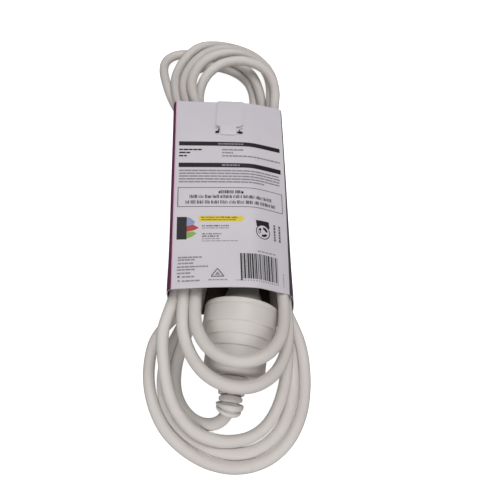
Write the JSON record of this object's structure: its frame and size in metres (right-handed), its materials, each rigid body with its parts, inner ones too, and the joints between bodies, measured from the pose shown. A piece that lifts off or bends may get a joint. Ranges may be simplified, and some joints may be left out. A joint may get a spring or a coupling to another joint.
{
  "type": "extension cord",
  "caption": "Three-core mains extension cord wound in a long flat hank, its plug pushed into its shrouded socket, gripped by a folded card sleeve with a hinged locking tab.",
  "frame": {"origin": "middle of the base of the whole object's box, on the surface that the hank lies on", "axes": "+Y along the hank's length, from the socket's end towards the plain bights; +Z up, out of the sleeve's label panel; +X to the right seen from above with +Y up"},
  "size_m": [0.0994, 0.3258, 0.0473],
  "materials": {
    "cord_sheath": "satin PVC sheath",
    "moulded_shell": "satin moulded PVC",
    "insert": "smooth moulded nylon",
    "brass": "bright pressed strip",
    "pin_sleeve": "satin",
    "core_brown": "satin",
    "core_blue": "satin",
    "core_green": "satin, with a yellow stripe",
    "card_face": "printed coated card, lilac grey",
    "card_side": "printed coated card, deep purple"
  },
  "bodies": {
    "lead": {"cord_hank_lower": "cord_sheath", "cord_hank_upper": "cord_sheath", "cord_socket_tail": "cord_sheath", "socket_body": "moulded_shell", "socket_strain_relief": "moulded_shell", "socket_contact_block": "insert", "socket_block_cover": "insert", "socket_contact_active": "brass", "socket_contact_neutral": "brass", "socket_contact_earth": "brass", "socket_core_active": "core_brown", "socket_core_neutral": "core_blue", "socket_core_earth": "core_green", "sleeve_label_panel": "card_face", "sleeve_base_panel": "card_face", "sleeve_left_panel": "card_side", "sleeve_right_panel": "card_side", "sleeve_tab_riser": "card_face"},
    "plug": {"plug_body": "moulded_shell", "plug_strain_relief": "moulded_shell", "plug_pin_carrier": "insert", "plug_pin_active": "brass", "plug_pin_neutral": "brass", "plug_pin_earth": "brass", "plug_pin_sleeve_active": "pin_sleeve", "plug_pin_sleeve_neutral": "pin_sleeve", "plug_core_active": "core_brown", "plug_core_neutral": "core_blue", "plug_core_earth": "core_green", "cord_plug_lead": "cord_sheath"},
    "tab": {"sleeve_lock_tab": "card_face"}
  },
  "joints": [
    {"name": "plug_slide", "type": "slide", "parent": "lead", "child": "plug", "axis": [0.1461, 0.9893, 0], "range_m": [0, 0.02]},
    {"name": "tab_hinge", "type": "hinge", "parent": "lead", "child": "tab", "pos_m": [0.00586, 0.06694, 0.0421], "axis": [-0.9974, 0, 0.0727], "range_deg": [0, 150]}
  ]
}
